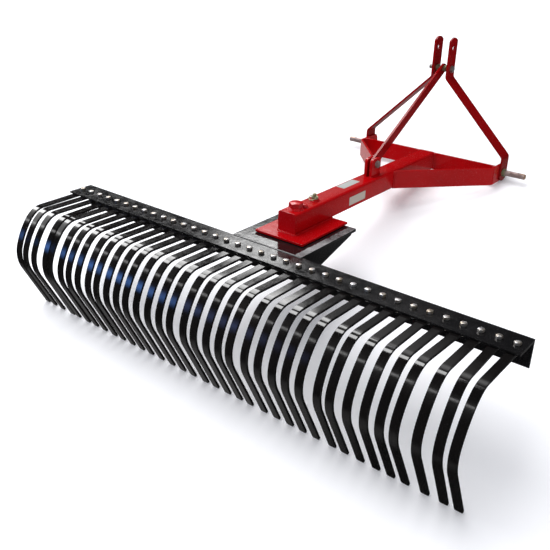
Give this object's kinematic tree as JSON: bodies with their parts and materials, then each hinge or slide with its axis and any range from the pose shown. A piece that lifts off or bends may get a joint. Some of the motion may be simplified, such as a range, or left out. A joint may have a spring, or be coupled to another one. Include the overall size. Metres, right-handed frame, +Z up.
{
  "type": "landscape rake",
  "caption": "Tractor-mounted landscape rake with curved spring tines under an angle bar, a swivelling square boom and an A-frame hitch.",
  "frame": {"origin": "middle of the bottom of the parked machine's bounding box, on the ground", "axes": "+X to the machine's right along the rake bar, +Y forward to the tractor, +Z up"},
  "size_m": [1.8288, 1.7062, 0.524],
  "materials": {
    "black_paint": "gloss black paint",
    "red_paint": "gloss deep red paint",
    "plate_paint": "gloss bright red paint",
    "bright_zinc": "bright zinc plate",
    "yellow_zinc": "yellow passivated zinc plate"
  },
  "bodies": {
    "boom": {"boom_tube": "red_paint", "boom_end_cap": "red_paint", "swivel_plate": "plate_paint", "swivel_washer": "bright_zinc", "kingpin": "red_paint", "kingpin_nut": "bright_zinc", "hitch_crossbar": "red_paint", "wing_plate_left": "red_paint", "wing_plate_right": "red_paint", "mast_strap_left": "red_paint", "mast_strap_right": "red_paint", "rear_brace": "red_paint", "brace_lugs": "red_paint", "brace_bolt": "bright_zinc", "mast_bolt": "yellow_zinc", "hitch_pin_left": "yellow_zinc", "hitch_pin_right": "yellow_zinc", "lock_pin_boss": "red_paint"},
    "rake_head": {"angle_bar": "black_paint", "deck_plate": "black_paint", "gusset_left": "black_paint", "gusset_right": "black_paint", "tine_01": "black_paint", "tine_02": "black_paint", "tine_03": "black_paint", "tine_04": "black_paint", "tine_05": "black_paint", "tine_06": "black_paint", "tine_07": "black_paint", "tine_08": "black_paint", "tine_09": "black_paint", "tine_10": "black_paint", "tine_11": "black_paint", "tine_12": "black_paint", "tine_13": "black_paint", "tine_14": "black_paint", "tine_15": "black_paint", "tine_16": "black_paint", "tine_17": "black_paint", "tine_18": "black_paint", "tine_19": "black_paint", "tine_20": "black_paint", "tine_21": "black_paint", "tine_22": "black_paint", "tine_23": "black_paint", "tine_24": "black_paint", "tine_25": "black_paint", "tine_26": "black_paint", "tine_27": "black_paint", "tine_28": "black_paint", "tine_29": "black_paint", "tine_30": "black_paint", "tine_31": "black_paint", "tine_32": "black_paint", "tine_33": "black_paint", "tine_34": "black_paint", "tine_35": "black_paint", "tine_36": "black_paint"},
    "lock_pin": {"lock_pin": "bright_zinc", "lock_pin_ring": "bright_zinc"}
  },
  "joints": [
    {"name": "rake_swivel", "type": "hinge", "parent": "boom", "child": "rake_head", "pos_m": [0, -0.28624, 0.27056], "axis": [0, 0.2816, 0.9595], "range_deg": [-45, 45]},
    {"name": "lock_pin_lift", "type": "slide", "parent": "boom", "child": "lock_pin", "axis": [0, 0.2816, 0.9595], "range_m": [0, 0.095]}
  ]
}
